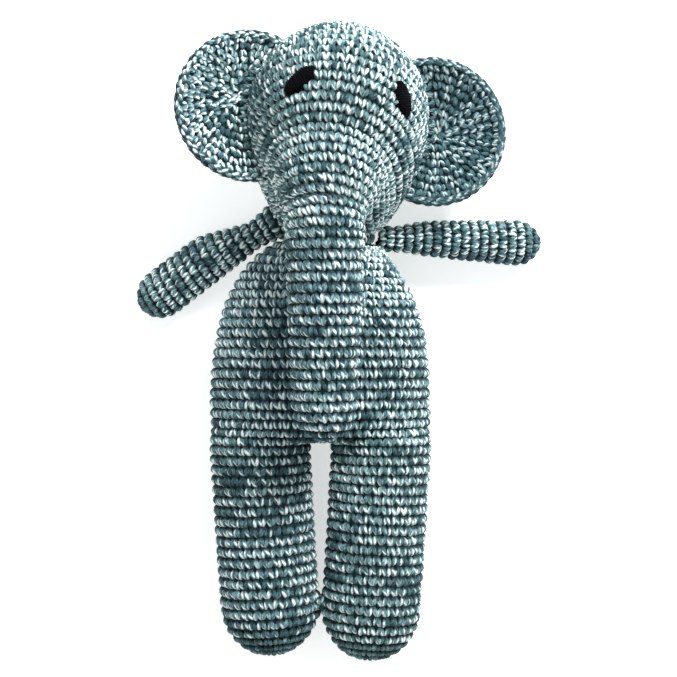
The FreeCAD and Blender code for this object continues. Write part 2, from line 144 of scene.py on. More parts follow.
def placed(name, data):
    """A new object in the scene with its mesh, lamp or camera."""
    obj = bpy.data.objects.new(name, data)
    bpy.context.collection.objects.link(obj)
    return obj


def new_mesh(name, verts, faces):
    """A smooth Blender object from millimetre points."""
    mesh = bpy.data.meshes.new(name)
    mesh.from_pydata((np.asarray(verts) * MM).tolist(), [], faces)
    mesh.update()
    mesh.shade_smooth()
    return placed(name, mesh)


def closed_rings(rings):
    """Points and faces of a closed tube through rings of points, capped at both ends."""
    rings = np.asarray(rings)
    rows, columns = rings.shape[:2]
    verts = np.vstack([rings.reshape(-1, 3), rings[0].mean(0), rings[-1].mean(0)])
    first, last, end = rows * columns, rows * columns + 1, (rows - 1) * columns
    turns = [(j, (j + 1) % columns) for j in range(columns)]
    faces = []
    for i in range(0, end, columns):
        faces += [(i + j, i + k, i + columns + k, i + columns + j) for j, k in turns]
    for j, k in turns:
        faces += [(first, k, j), (last, end + j, end + k)]
    return verts, faces


def merged(shapes):
    """Several closed shapes as one list of points and faces."""
    verts, faces, base = [], [], 0
    for points, polygons in shapes:
        verts.append(points)
        faces += [tuple(base + i for i in p) for p in polygons]
        base += len(points)
    return np.vstack(verts), faces


def apply_modifiers(obj):
    """Replaces the object's mesh by its modified one."""
    graph = bpy.context.evaluated_depsgraph_get()
    mesh = bpy.data.meshes.new_from_object(obj.evaluated_get(graph), depsgraph=graph)
    obj.modifiers.clear()
    obj.data = mesh


def remesh_and_smooth(obj, voxel, smoothing):
    """Turns overlapping shapes into one even, softened surface."""
    remesh = obj.modifiers.new("Remesh", "REMESH")
    remesh.mode = "VOXEL"
    remesh.voxel_size = voxel * MM
    soften = obj.modifiers.new("Smooth", "SMOOTH")
    soften.factor = 0.5
    soften.iterations = smoothing
    apply_modifiers(obj)


def set_coords(obj, points):
    """Moves an object's points, given in millimetres."""
    obj.data.vertices.foreach_set("co", (points * MM).astype(np.float32).ravel())
    obj.data.update()


def normals(obj):
    """Outward normals at an object's points."""
    return vectors(obj.data.vertex_normals, "vector")


# ---- soft forms

SWELL_START = 1.6  # the form starts this much smaller than it should end
SWELL_CAP = 3.0  # the pressure may move the fabric this far
SWELL_FRAMES = 12
SMOOTHED_AWAY = 0.45  # what the smoothing takes off a round limb


def swell(obj):
    """Blows the form up like stuffed fabric with a cloth simulation, and caps the movement."""
    start = coords(obj)
    cloth = obj.modifiers.new("Cloth", "CLOTH")
    settings = cloth.settings
    settings.quality = 5
    settings.mass = 0.05
    settings.tension_stiffness = 5
    settings.compression_stiffness = 5
    settings.bending_stiffness = 0.3
    settings.use_pressure = True
    settings.uniform_pressure_force = 20.0
    settings.effector_weights.gravity = 0.0
    cloth.collision_settings.use_self_collision = False
    scene = bpy.context.scene
    for number in range(1, SWELL_FRAMES + 1):
        scene.frame_set(number)
    apply_modifiers(obj)
    scene.frame_set(1)
    move = coords(obj) - start
    far = np.linalg.norm(move, axis=1, keepdims=True)
    set_coords(obj, start + move * np.minimum(1.0, SWELL_CAP / np.maximum(far, 1e-6)))


def soft_form(name, shapes, voxel=3.0, smoothing=10):
    """One closed soft form from overlapping closed shapes, smoothed, swollen but nowhere thinner
    than it was, and brought back to the room that the CAD pieces hold, less what the yarn stands
    proud."""
    verts, faces = merged(shapes)
    low, high = verts.min(0), verts.max(0)
    obj = new_mesh(name, verts, faces)
    remesh_and_smooth(obj, voxel, smoothing)
    out = normals(obj)
    full = coords(obj) + out * SMOOTHED_AWAY
    set_coords(obj, full)
    set_coords(obj, full - out * SWELL_START)
    swell(obj)
    rise = np.sum((coords(obj) - full) * out, axis=1, keepdims=True)
    set_coords(obj, coords(obj) - out * np.minimum(rise, 0))
    points = coords(obj)
    now_low, now_high = points.min(0), points.max(0)
    set_coords(obj, low + (points - now_low) * (high - low) / (now_high - now_low))
    return obj


# ---- rounds of crochet

def cast_rings(tree, centres, tangents):
    """Rings of points where spokes from each centre meet a form."""
    rings = []
    for centre, tangent in zip(centres, unit(tangents)):
        ring = []
        for spoke in spokes(tangent):
            hit = tree.ray_cast(Vector(centre), Vector(spoke), REACH)
            ring.append(np.array(hit[0]) if hit[0] is not None else centre)
        rings.append(ring)
    return np.array(rings)


class Rounds:
    """Rounds of crochet: a grid of points, with four rows of the grid to each round."""

    def __init__(self, rings, pitch=PITCH, facing=None, even=True):
        step = np.linalg.norm(np.diff(rings, axis=0), axis=2)
        run = np.concatenate([[0], np.cumsum(np.percentile(step, 85, axis=1))])
        count = max(2, int(round(run[-1] / pitch)))
        levels = np.linspace(0, run[-1], count * 4 + 1)
        flat = rings.reshape(len(rings), -1)
        fine = np.array([np.interp(levels, run, flat[:, c]) for c in range(flat.shape[1])]).T
        fine = fine.reshape(-1, AROUND, 3)
        self.count = count
        self.grid = np.array([resample(ring, even) for ring in fine])
        self.length = np.linalg.norm(np.roll(fine, -1, axis=1) - fine, axis=2).sum(axis=1)
        self.normal = self.surface_normals(facing)

    def surface_normals(self, facing):
        """Normals of the grid, outward or towards facing."""
        along = np.gradient(self.grid, axis=0)
        across = np.roll(self.grid, -1, axis=1) - np.roll(self.grid, 1, axis=1)
        normal = unit(np.cross(across, along))
        out = self.grid - self.grid.mean(axis=1, keepdims=True) if facing is None else facing
        sign = np.sign(np.sum(normal * out, axis=2).sum())
        return normal * (sign if sign else 1.0)

    def sample(self, field, level, turn):
        """The grid's points or normals at fractional rounds and turns, also just past its ends."""
        level = level * 4
        turn = (turn % 1.0) * RING
        low, left = np.clip(level.astype(int), 0, len(self.grid) - 2), turn.astype(int)
        up, right = (level - low)[..., None], (turn - left)[..., None]
        left %= RING
        after = (left + 1) % RING
        under = field[low, left] * (1 - right) + field[low, after] * right
        over = field[low + 1, left] * (1 - right) + field[low + 1, after] * right
        return under * (1 - up) + over * up

    def lay(self, level, turn, height):
        """Paths laid on the rounds at a height, and the normals along them."""
        normal = unit(self.sample(self.normal, level, turn))
        return self.sample(self.grid, level, turn) + normal * height[..., None], normal


def resample(ring, even=True):
    """A closed ring with RING points, evenly spaced or in their old directions."""
    closed = np.vstack([ring, ring[:1]])
    step = np.linalg.norm(np.diff(closed, axis=0), axis=1) if even else np.ones(len(ring))
    run = np.concatenate([[0], np.cumsum(step)])
    at = np.arange(RING) / RING * run[-1]
    return np.stack([np.interp(at, run, closed[:, axis]) for axis in range(3)], axis=1)


LEG_POINTS = 7  # points along one strand of a stitch
LEG_SIDES = 8  # sides of its round section
PRESSED = 0.15  # yarn that would reach below the floor is pressed flat to this share


def strand_mesh(name, path, normal, radius, shade, plain):
    """Tapered yarn strands as one mesh. The colour attribute holds, for every corner, how far
    round the strand it is, how far along in millimetres, a random shade and plainness."""
    count, points = path.shape[:2]
    tangent = unit(np.gradient(path, axis=1))
    side = unit(np.cross(tangent, normal))
    top = unit(np.cross(side, tangent))
    angle = np.arange(LEG_SIDES) * 2 * np.pi / LEG_SIDES
    offset = (side[:, :, None] * np.cos(angle)[None, None, :, None]
              + top[:, :, None] * np.sin(angle)[None, None, :, None] * 0.9)
    verts = (path[:, :, None] + offset * radius[:, :, None, None]).reshape(-1, 3)
    verts[:, 2] *= np.where(verts[:, 2] < 0, PRESSED, 1.0)
    i, j = np.meshgrid(np.arange(points - 1), np.arange(LEG_SIDES), indexing="ij")
    k = (j + 1) % LEG_SIDES
    quad = np.stack([i * LEG_SIDES + j, i * LEG_SIDES + k,
                     (i + 1) * LEG_SIDES + k, (i + 1) * LEG_SIDES + j], axis=-1).reshape(-1, 4)
    per = points * LEG_SIDES
    faces = (quad[None] + (np.arange(count) * per)[:, None, None]).reshape(-1, 4)
    mesh = bpy.data.meshes.new(name)
    mesh.vertices.add(len(verts))
    mesh.vertices.foreach_set("co", (verts * MM).astype(np.float32).ravel())
    mesh.loops.add(len(faces) * 4)
    mesh.loops.foreach_set("vertex_index", faces.astype(np.int32).ravel())
    mesh.polygons.add(len(faces))
    mesh.polygons.foreach_set("loop_start", (np.arange(len(faces)) * 4).astype(np.int32))
    mesh.update(calc_edges=True)
    mesh.shade_smooth()
    run = np.concatenate([np.zeros((count, 1)),
                          np.cumsum(np.linalg.norm(np.diff(path, axis=1), axis=2), axis=1)], axis=1)
    corner_round = np.stack([j, j + 1, j + 1, j], axis=-1).reshape(-1, 4) / LEG_SIDES
    corner_row = np.stack([i, i, i + 1, i + 1], axis=-1).reshape(-1, 4)
    data = np.empty((count, len(quad), 4, 4), dtype=np.float32)
    data[..., 0] = corner_round[None]
    data[..., 1] = run[:, corner_row]
    data[..., 2] = shade[:, None, None]
    data[..., 3] = plain[:, None, None]
    layer = mesh.color_attributes.new("yarn", "FLOAT_COLOR", "CORNER")
    layer.data.foreach_set("color", data.ravel())
    return placed(name, mesh)


RUN = 4  # stitches over which the dyed yarn changes its shade


def yarn_runs(count):
    """A shade for each stitch of a round. The dyed yarn changes over a few stitches."""
    knots = rng.random(max(3, count // RUN) + 1)
    at = np.linspace(0, len(knots) - 1, count)
    return np.interp(at, np.arange(len(knots)), knots)


def arch(where, power=0.55):
    """Rises from nothing to one and back along a strand."""
    return np.sin(np.pi * np.clip(where, 0, 1)) ** power


def lay_strands(name, rounds, keep, levels, turns, heights, radii, shades, plains):
    """Strands laid on rounds of crochet. Only those stay whose middles keep chooses."""
    path, normal = rounds.lay(np.vstack(levels), np.vstack(turns), np.vstack(heights))
    rows = [path, normal, np.vstack(radii), np.concatenate(shades), np.concatenate(plains)]
    if keep is not None:
        chosen = keep(path[:, LEG_POINTS // 2])
        rows = [row[chosen] for row in rows]
    return strand_mesh(name, *rows)


# a stitch is a V of two strands; these are shares of the stitch, the round or the yarn's radius
V_GAP = 0.10  # half the gap at the foot of the V
V_SPREAD = 0.31  # how much further out each strand is at the top of the V
V_CURVE = 0.85
V_FOOT = 0.05  # the V starts this far up its round
V_HEIGHT = 0.86
SUNK = -1.55  # height of a strand's ends
RISE = 1.80  # how much higher its middle is
THIN = 0.66  # radius of a strand's ends
PLUMP = 0.38  # how much thicker its middle is
STEP_ON = 0.57  # each round starts this share of a stitch further on


def crochet(name, rounds, first=0, last=None, plain_rounds=0, keep=None, stitch=STITCH,
            yarn=YARN, lean=0.06, jitter=0.03):
    """Single crochet worked in rounds. Each stitch is a V of two plump strands, and every round
    is a rounded band whose edges sink between it and its neighbours."""
    last = rounds.count if last is None else last
    where = np.linspace(0, 1, LEG_POINTS)
    levels, turns, heights, radii, shades, plains = [], [], [], [], [], []
    phase = 0.0
    for row in range(first, last):
        count = max(5, int(round(rounds.length[4 * row + 2] / stitch)))
        phase += STEP_ON / count
        runs = yarn_runs(count)
        for leg in (-1, 1):
            middle = (np.arange(count) + rng.normal(0, jitter + 0.02, count)) / count + phase
            wider = V_SPREAD + rng.normal(0, jitter, (count, 1))
            spread = V_GAP + wider * where[None] ** V_CURVE
            turns.append(middle[:, None] + (leg * spread + lean * (where - 0.5)) / count)
            up = row + V_FOOT + V_HEIGHT * where[None]
            levels.append(up + rng.normal(0, jitter, (count, 1)))
            proud = (SUNK + RISE * arch(where)[None]) * (1 + rng.normal(0, 0.08, (count, 1)))
            heights.append(proud * yarn)
            thick = (THIN + PLUMP * arch(where, 0.7))[None] * (1 + rng.normal(0, 0.05, (count, 1)))
            radii.append(yarn * thick)
            shades.append(np.clip(runs + rng.normal(0, 0.16, count), 0, 0.999))
            plains.append(np.full(count, 1.0 if row < plain_rounds else 0.0))
    return lay_strands(name, rounds, keep, levels, turns, heights, radii, shades, plains)


LINING_DEPTH = 1.0  # the fabric lies this far below the strands' centre line


def lining(name, rounds, first=0, last=None):
    """The closed fabric ground that the stitches stand on."""
    last = rounds.count if last is None else last
    rows = slice(4 * first, 4 * last + 1, 2)
    grid = rounds.grid[rows, ::3] - rounds.normal[rows, ::3] * LINING_DEPTH
    return new_mesh(name, *closed_rings(grid))


# ---- materials

TEAL_DEEP = (0.004, 0.013, 0.017, 1)
TEAL_DARK = (0.030, 0.074, 0.088, 1)
TEAL_BLUE = (0.100, 0.195, 0.235, 1)
TEAL_GREEN = (0.104, 0.198, 0.200, 1)
TEAL_LIGHT = (0.360, 0.550, 0.580, 1)
YARN_WHITE = (0.860, 0.960, 0.955, 1)
BLACK_YARN = (0.001, 0.001, 0.002, 1)
# painted sheen of the black yarn
BLACK_PAINTED_SHEEN = (0.007, 0.007, 0.010, 1)
FIBRE_WHITE = (0.780, 0.760, 0.710, 1)
FIBRE_SHADE = (0.520, 0.500, 0.460, 1)
TOP = 0.25  # the share of a turn round a strand at which it faces outwards
MATT = 0.08  # yarn hardly reflects


class Nodes:
    """Short calls for building a node tree."""

    def __init__(self, name, roughness):
        self.material = bpy.data.materials.new(name)
        self.material.use_nodes = True
        self.tree = self.material.node_tree
        self.shader = self.tree.nodes["Principled BSDF"]
        self.shader.inputs["Roughness"].default_value = roughness
        self.shader.inputs["Specular IOR Level"].default_value = MATT

    def add(self, kind, **settings):
        """A new node with its settings."""
        node = self.tree.nodes.new(kind)
        for key, value in settings.items():
            setattr(node, key, value)
        return node

    def link(self, source, target):
        """Joins two sockets."""
        self.tree.links.new(source, target)

    def fill(self, sockets, values):
        """Links or sets several sockets."""
        for socket, value in zip(sockets, values):
            if isinstance(value, (int, float, tuple)):
                socket.default_value = value
            elif value is not None:
                self.link(value, socket)

    def math(self, operation, *values):
        """A sum or other operation on numbers."""
        node = self.add("ShaderNodeMath", operation=operation)
        self.fill(node.inputs, values)
        return node.outputs[0]

    def plus(self, a, b):
        """The sum of two numbers."""
        return self.math("ADD", a, b)

    def times(self, a, b):
        """The product of two numbers."""
        return self.math("MULTIPLY", a, b)

    def minus(self, a, b):
        """The difference of two numbers."""
        return self.math("SUBTRACT", a, b)

    def mix(self, factor, a, b):
        """A mixture of two colours."""
        node = self.add("ShaderNodeMix", data_type="RGBA")
        self.fill((node.inputs[0], node.inputs[6], node.inputs[7]), (factor, a, b))
        return node.outputs[2]

    def step(self, value, low, high):
        """Rises smoothly from 0 at low to 1 at high."""
        node = self.add("ShaderNodeMapRange", interpolation_type="SMOOTHSTEP")
        self.fill(node.inputs, (value, low, high))
        return node.outputs[0]

    def tint(self, colour, other, value, low, high, most):
        """Mixes another colour in, up to its most, as a value goes from low to high."""
        return self.mix(self.times(self.step(value, low, high), most), colour, other)

    def noise(self, scale, detail, place=None):
        """Cloudy noise, fixed to the piece unless a place is given."""
        node = self.add("ShaderNodeTexNoise")
        if place is None:
            place = self.add("ShaderNodeTexCoord").outputs["Object"]
        self.fill((node.inputs["Vector"], node.inputs["Scale"], node.inputs["Detail"]),
                  (place, scale, detail))
        return node.outputs["Fac"]

    def hashed(self, value, factor):
        """A number from 0 to 1 that looks random."""
        return self.math("FRACT", self.times(value, factor))

    def strand(self):
        """What the yarn attribute says: turn, millimetres along, shade and plainness."""
        yarn = self.add("ShaderNodeAttribute", attribute_name="yarn")
        split = self.add("ShaderNodeSeparateColor")
        self.link(yarn.outputs["Color"], split.inputs[0])
        return (*split.outputs[:3], yarn.outputs["Alpha"])

    def fibres(self, around, along, shade):
        """Noise drawn out along a strand, as its fibres are."""
        place = self.add("ShaderNodeCombineXYZ")
        self.fill(place.inputs,
                  (self.times(around, 14.0), self.times(along, 0.8), self.times(shade, 97.0)))
        return self.noise(1.0, 3.0, place.outputs[0])

    def twist(self, around, along, rise, plies):
        """Waves across the plies of a strand, which go round once in each rise."""
        turn = self.plus(around, self.math("DIVIDE", along, rise))
        return self.math("SINE", self.times(turn, 2 * math.pi * plies))

    def bump(self, height, strength, distance):
        """Raises the surface by a height given in millimetres."""
        bump = self.add("ShaderNodeBump")
        bump.inputs["Strength"].default_value = strength
        bump.inputs["Distance"].default_value = distance * MM
        self.link(height, bump.inputs["Height"])
        self.link(bump.outputs[0], self.shader.inputs["Normal"])

    def fuzz(self, weight):
        """The soft halo of wool."""
        self.shader.inputs["Sheen Weight"].default_value = weight
        self.shader.inputs["Sheen Roughness"].default_value = 0.5


PLIES = 4  # plies twisted together in the yarn
PLY_RISE = 8.0  # millimetres along the yarn in which a ply goes round once
SLIVER_RISE = 14.0  # the same for the white strand, which is wound more loosely
STRAND_HALF = 2.3  # middle of a stitch's strand


def marled_yarn(name, white_share, painted_shade=0.0):
    """Blue-green yarn of several plies with a white strand, which shows as slanting slivers. Painted
    shade darkens the grooves between the plies, the strands' ends and, by a given share, the whole
    yarn.
    """
    n = Nodes(name, 0.85)
    around, along, shade, plain = n.strand()
    slow = n.noise(20.0, 1.0)
    fibres = n.fibres(around, along, shade)
    hue = n.step(n.plus(slow, n.times(n.hashed(shade, 31.7), 0.2)), 0.48, 0.72)
    colour = n.mix(hue, TEAL_BLUE, TEAL_GREEN)
    tone = n.plus(n.times(n.hashed(shade, 217.3), 0.6), n.times(shade, 0.4))
    colour = n.tint(colour, TEAL_LIGHT, tone, 0.45, 0.95, 0.70)
    colour = n.tint(colour, TEAL_DARK, tone, 0.45, 0.10, 0.85)
    plies = n.twist(around, along, PLY_RISE, PLIES)
    # painted shade in the grooves between the plies
    colour = n.tint(colour, TEAL_DARK, plies, 0.0, -1.0, 0.60)
    colour = n.tint(colour, TEAL_LIGHT, fibres, 0.52, 0.78, 0.65)
    colour = n.tint(colour, TEAL_DEEP, fibres, 0.50, 0.26, 0.80)

    run = n.minus(along, STRAND_HALF)
    side = n.times(n.minus(n.hashed(shade, 57.9), 0.5), 0.30)
    slope = n.plus(n.times(n.hashed(shade, 83.3), 1.3), 0.3)
    drift = n.times(n.math("DIVIDE", run, SLIVER_RISE), slope)
    off = n.minus(n.minus(around, TOP), n.plus(side, drift))
    moved = n.plus(run, n.times(n.minus(n.hashed(shade, 211.7), 0.5), 1.8))
    taper = n.math("DIVIDE", moved, STRAND_HALF)
    full = n.plus(n.times(n.hashed(shade, 17.3), 0.07), 0.035)
    width = n.minus(full, n.times(n.times(taper, taper), 0.06))
    ragged = n.times(n.minus(fibres, 0.5), 0.14)
    edge = n.plus(n.minus(width, n.math("ABSOLUTE", off)), ragged)
    sliver = n.step(edge, -0.008, 0.014)
    chance = n.plus(n.times(shade, 0.5), n.times(n.hashed(shade, 131.1), 0.5))
    often = n.step(chance, 0.98 - white_share, 1.02 - white_share)
    shown = n.times(often, n.minus(1.0, plain))
    beside = n.times(n.step(edge, -0.09, 0.0), 0.75)
    colour = n.mix(n.times(beside, shown), colour, TEAL_LIGHT)
    colour = n.mix(n.times(sliver, shown), colour, YARN_WHITE)
    # painted shade: each strand darkens towards its ends, where it sinks into the groove between
    # rounds
    from_middle = n.math("ABSOLUTE", run)
    colour = n.tint(colour, TEAL_DEEP, from_middle, STRAND_HALF * 0.55, STRAND_HALF * 1.15, 0.80)
    # painted shade: the whole yarn is darkened by this share, as for the right ear, which lies in
    # shadow
    if painted_shade:
        colour = n.mix(painted_shade, colour, TEAL_DARK)
    n.link(colour, n.shader.inputs["Base Color"])
    n.fuzz(0.05)
    n.bump(n.plus(n.times(plies, 0.4), n.times(fibres, 1.2)), 0.8, 0.35)
    return n.material


def shaded_yarn():
    """The inner loops of the fabric, seen between the stitches."""
    n = Nodes("yarn in the shade", 0.95)
    n.link(n.mix(n.noise(500.0, 3.0), TEAL_DEEP, TEAL_DARK), n.shader.inputs["Base Color"])
    n.bump(n.noise(900.0, 2.0), 0.6, 0.4)
    return n.material


def black_yarn():
    """Black embroidery cotton, with a painted sheen along the crests of its plies."""
    n = Nodes("black embroidery cotton", 0.7)
    around, along, shade, _ = n.strand()
    plies = n.twist(around, along, rise=3.0, plies=3)
    fine = n.noise(1500.0, 2.0)
    # painted sheen: the crests of the plies are lighter in colour
    painted_sheen = n.times(n.step(plies, 0.0, 1.0), n.plus(n.times(shade, 0.5), 0.4))
    n.link(n.mix(painted_sheen, BLACK_YARN, BLACK_PAINTED_SHEEN), n.shader.inputs["Base Color"])
    n.shader.inputs["Specular IOR Level"].default_value = 0.03
    n.bump(n.plus(n.times(plies, 0.4), fine), 0.6, 0.2)
    return n.material


def white_fibre():
    """Polyester fibre filling: matted white curls."""
    n = Nodes("polyester fibre", 0.9)
    fine = n.noise(700.0, 6.0)
    n.link(n.mix(fine, FIBRE_SHADE, FIBRE_WHITE), n.shader.inputs["Base Color"])
    n.fuzz(0.5)
    n.bump(fine, 0.9, 1.2)
    return n.material


MARLED = marled_yarn("marled yarn", 0.72)
# the right ear's yarn carries painted shade: it is darker as though in shadow
EAR_YARN = {"left": marled_yarn("marled yarn of the left ear", 0.72),
            "right": marled_yarn("marled yarn of the right ear with painted shade", 0.66, 0.45)}
SEWING = marled_yarn("sewing yarn", 0.10)
SHADED = shaded_yarn()
BLACK = black_yarn()
FIBRE = white_fibre()


# ---- pieces

HOLDS_TO = {}  # how each part bends away from the one that it is joined to
FOOT_PLAIN = 4  # rounds of a foot and of a hand in which the white strand stays inside
HAND_PLAIN = 3


def present(obj, part, material, replaced=()):
    """Finishes a piece: its material, the CAD nodes that it stands in for, and the body that carries
    it. A part is a body, or the name of a bend in HOLDS_TO, whose pieces keep their places unattached."""
    obj.data.materials.clear()
    obj.data.materials.append(material)
    if part in HOLDS_TO:
        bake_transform(obj)
    else:
        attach(obj, part)
    if replaced:
        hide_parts(*replaced)
    return obj


def cover(part, name, rounds, first=0, last=None, **stitching):
    """The crocheted outside of one part."""
    obj = crochet(name, rounds, first, last, **stitching)
    return present(obj, part, MARLED)


def ground(part, name, rounds, node, first=0, last=None):
    """The closed fabric under the stitches of one part. It stands in for the part's CAD cover."""
    present(lining(name, rounds, first, last), part, SHADED, [node])


# ---- body and legs

def tube_shape(tree, start, end, count, even=False):
    """A closed shape from the outside of a CAD node along a straight axis."""
    axis = unit(end - start)
    at = (1 - np.cos(np.linspace(0, np.pi, count))) / 2
    rings = []
    for fraction in at:
        centre = start + (end - start) * fraction
        radii = outside_in(tree, centre, axis)
        if np.median(radii) < 0.5:
            continue
        if even:
            radii[:] = np.median(radii)
        rings.append(centre + spokes(axis) * np.maximum(radii - SINK, 0.2)[:, None])
    return closed_rings(rings)


body_low, body_high = box("body_cover")
body_middle = (body_low + body_high) / 2
neck = joint_at("head_tilt")
SHOULDER_Y = 20.0  # above this the torso leans with the neck
FOOT_RADIUS = 25.2
GUSSET = 17.0  # half width of the patch between the legs
LEVELLING = 35.0  # the legs' rounds come level with the torso's over this length


def lean_at(y, top):
    """How much of the neck's lean the torso has at a height."""
    return np.clip((y - SHOULDER_Y) / (top - SHOULDER_Y), 0, 1)


def body_shapes():
    """Closed outlines of the torso and both legs, the torso carried on down to the crotch."""
    tree = cad_tree("body_cover")
    rings = []
    for y in np.linspace(body_low[1] + 1.0, body_high[1] - 6.0, 26):
        lean = lean_at(y, neck[1])
        centre = np.array([neck[0] * lean, y, body_middle[2] * (1 - 0.1 * lean)])
        radii = outside_in(tree, centre, UP)
        rings.append(centre + spokes(UP) * (radii - SINK)[:, None])
    seat = rings[0].copy()
    seat[:, 1] = joint_at("leg_left_kick")[1] + 5.0
    seat[:, 0] *= 0.98
    seat[:, 2] = body_middle[2] + (seat[:, 2] - body_middle[2]) * 0.92
    shapes = [closed_rings([seat] + rings)]
    for side in OUTWARD:
        shapes.append(tube_shape(cad_tree(f"leg_{side}_cover"), *leg_axis(side), 40))
    return shapes


def leg_axis(side):
    """From the top of a leg's round hip end to the end of its foot."""
    low, high = box(f"leg_{side}_cover")
    hip = joint_at(f"leg_{side}_kick")
    inner = high[0] if side == "left" else low[0]
    foot = np.array([inner + OUTWARD[side] * FOOT_RADIUS, low[1] + FOOT_RADIUS, FOOT_RADIUS - 1.0])
    axis = unit(foot - hip)
    return hip - axis * (high[1] - hip[1] - 0.1), foot + axis * (FOOT_RADIUS - SINK)


def between(start, end, count, round_start=0.0, round_end=0.0):
    """Centres from start to end, closer together towards a rounded end."""
    length = np.linalg.norm(end - start)
    near = np.cos(np.linspace(0.12, np.pi / 2, 14))
    edge = [0.0] + list(round_start * (1 - near)) if round_start else [0.0]
    edge += list(np.linspace(edge[-1], length - round_end, count)[1:])
    if round_end:
        edge += list(length - round_end * (1 - near[::-1]))[1:] + [length]
    return start + np.outer(np.array(edge) / length, end - start)


def surface_point(tree, start, direction):
    """A point just inside the first surface along a line."""
    direction = unit(direction)
    hit = tree.ray_cast(Vector(start), Vector(direction))
    return np.array(hit[0]) + direction * 0.15


body_form = soft_form("body_form", body_shapes())
body_tree = tree_of(body_form)
crotch = surface_point(body_tree, np.array([0, -120.0, body_middle[2]]), UP)[1]
SEAT = crotch + 1.8  # the first round of the body goes round both legs here
FORK = crotch - 0.8  # the legs are still apart here


def body_rounds():
    """Rounds of the torso, from the seat to the neck."""
    top = body_high[1] - 7.0
    y = np.linspace(SEAT, top, 60)
    lean = lean_at(y, top)
    centres = np.stack([neck[0] * lean, y, body_middle[2] * (1 - 0.08 * lean)], axis=1)
    tangents = np.stack([0.1 * lean, np.ones_like(y), 0.12 * lean], axis=1)
    return Rounds(cast_rings(body_tree, centres, tangents))


def leg_rounds(side):
    """Rounds of one leg, from the middle of the sole to the seat."""
    top, foot = leg_axis(side)
    axis = unit(top - foot)
    end = foot + axis * (FORK - foot[1]) / axis[1]
    start = surface_point(body_tree, foot - axis * 20, axis)
    centres = between(start, end, 60, round_start=FOOT_RADIUS)
    level = np.clip((centres[:, 1:2] - FORK + LEVELLING) / LEVELLING, 0, 1)
    rings = cast_rings(body_tree, centres, unit(axis * (1 - level) + UP * level))
    rings = np.concatenate([rings, rings[-1:] + axis * (SEAT - FORK)])
    sign = OUTWARD[side]
    rings[..., 0] = sign * np.maximum(sign * rings[..., 0], 0.7)
    return Rounds(rings, even=False)


def gusset_rounds():
    """Rounds of the small patch that closes the torso between the legs."""
    middle = np.array([0, crotch, body_middle[2]])
    outline = cast_rings(body_tree, [middle + UP * (SEAT - crotch)], [UP])[0]
    outline[:, 0] = np.clip(outline[:, 0], -GUSSET, GUSSET)
    outline[:, 1] = crotch
    rings = [middle + (outline - middle) * share for share in (0.08, 0.3, 0.5, 0.7, 0.9, 0.97)]
    return Rounds(np.array(rings), facing=-UP)


def make_body():
    """Torso and legs, with each leg's bend below the seat recorded in HOLDS_TO."""
    rounds = body_rounds()
    half = rounds.count // 2
    belly = cover("torso", "body_crochet_belly", rounds, 0, half)
    gusset = crochet("gusset", gusset_rounds())
    gusset.data.materials.append(MARLED)
    with bpy.context.temp_override(active_object=belly, object=belly,
                                   selected_editable_objects=[belly, gusset]):
        bpy.ops.object.join()
    cover("torso", "body_crochet_chest", rounds, half)
    ground("torso", "body_fabric", rounds, "body_cover")
    for side in OUTWARD:
        part = f"leg_{side}"
        HOLDS_TO[part] = ("torso", np.array([0, SEAT - 2.0, 0]), np.array([0, SEAT - 32.0, 0]))
        rounds = leg_rounds(side)
        half = rounds.count // 2
        cover(part, f"{part}_crochet_foot", rounds, 0, half, plain_rounds=FOOT_PLAIN)
        cover(part, f"{part}_crochet_thigh", rounds, half)
        ground(part, f"{part}_fabric", rounds, f"{part}_cover")


# ---- head and trunk

head_low, head_high = box("head_cover")
HEAD_RADIUS = (head_high[0] - head_low[0]) / 2
head_middle = np.array([(head_low[0] + head_high[0]) / 2, head_high[1] - HEAD_RADIUS,
                        head_high[2] - HEAD_RADIUS])
trunk_root = joint_at("trunk_lift")
face = unit(trunk_root - head_middle)
trunk_tree = cad_tree("trunk_cover")
trunk_low, trunk_high = box("trunk_cover")
trunk_x = (trunk_low[0] + trunk_high[0]) / 2
TIP_RADIUS = 16.0  # round end of the trunk
BEND_DROP = 19.0  # from the trunk's root down to its bend
FLARE = ((24, 34.0), (34, 31.0), (42, 28.0), (48, 25.6), (54, 23.2), (60, 20.5), (66, 17.5))


def trunk_place(y):
    """The middle of the trunk, this far up the toy."""
    down = trunk_tree.ray_cast(Vector((trunk_x, y, ABOVE)), Vector((0, 0, -1)))
    up = trunk_tree.ray_cast(Vector((trunk_x, y, BELOW)), Vector((0, 0, 1)))
    return np.array([trunk_x, y, (down[0].z + up[0].z) / 2])


bend = trunk_place(trunk_root[1] - BEND_DROP)
tip = trunk_place(trunk_low[1] + TIP_RADIUS)


def head_shapes():
    """Closed outlines of the head, of the flare where the trunk grows out of the face, and of
    both stretches of the trunk."""
    crown = head_middle + unit(head_middle - neck) * (HEAD_RADIUS - 0.1)
    bottom = neck + unit(head_middle - neck) * 1.0
    shapes = [tube_shape(cad_tree("head_cover"), bottom, crown, 46, even=True)]
    flare = [head_middle + face * out + spokes(face) * (radius - SINK)
             for out, radius in FLARE]
    shapes.append(closed_rings(flare))
    up, on = unit(bend - trunk_root), unit(tip - bend)
    shapes.append(tube_shape(trunk_tree, trunk_root - up * 18.0, bend, 12))
    shapes.append(tube_shape(trunk_tree, bend - on * 6.0, tip + on * (TIP_RADIUS - 0.1), 40))
    return shapes


head_form = soft_form("head_form", head_shapes())
head_tree = tree_of(head_form)


